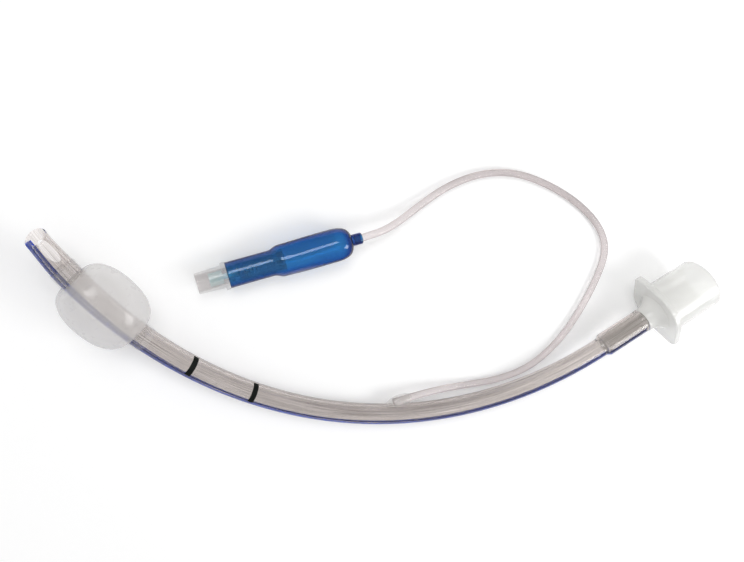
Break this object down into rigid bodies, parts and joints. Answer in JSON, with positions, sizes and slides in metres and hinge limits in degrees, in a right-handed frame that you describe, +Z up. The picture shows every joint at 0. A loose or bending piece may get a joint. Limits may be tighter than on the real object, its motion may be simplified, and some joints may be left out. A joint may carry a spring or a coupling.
{
  "type": "cuffed endotracheal tube",
  "caption": "Bowed breathing tube with bevelled tip, side eye, inflated cuff, winged 15 mm connector, and an inflation line to a blue pilot balloon with a spring valve.",
  "frame": {"origin": "bottom centre of the tube, cuff and connector as they lie, without the inflation line and what is on it", "axes": "+X from the tip towards the connector along the tube's longest extent, +Y towards the inside of its bow, +Z up from the surface it lies on"},
  "size_m": [0.1812, 0.0683, 0.0179],
  "materials": {
    "clear_pvc": "clear soft vinyl, slightly warm grey, fine draw lines along its length",
    "stripe_blue": "blue line set in the wall",
    "mark_ink": "black printed ink",
    "cuff_film": "thin frosted film",
    "connector_plastic": "milky moulded polypropylene",
    "cement": "clear cement bead",
    "line_pvc": "clear soft vinyl line",
    "balloon_blue": "glossy translucent blue film",
    "valve_clear": "clear moulded plastic, faintly smoky",
    "plunger_white": "white moulded plastic",
    "seal_rubber": "pale elastomer",
    "spring_steel": "bright spring wire"
  },
  "bodies": {
    "tube": {"shaft": "clear_pvc", "radiopaque_stripe": "stripe_blue", "depth_marks": "mark_ink", "cuff": "cuff_film", "connector": "connector_plastic", "line_bead": "cement", "inflation_line": "line_pvc", "pilot_balloon": "balloon_blue", "valve_housing": "valve_clear", "valve_spring": "spring_steel", "spring_plug": "valve_clear"},
    "plunger": {"valve_plunger": "plunger_white", "plunger_seal": "seal_rubber"}
  },
  "joints": [
    {"name": "valve_press", "type": "slide", "parent": "tube", "child": "plunger", "axis": [0.9716, 0.2333, 0.0393], "range_m": [0, 0.0016], "stiffness_N_per_m": 150, "springref_m": -0.002, "deforming": ["valve_spring"]}
  ]
}
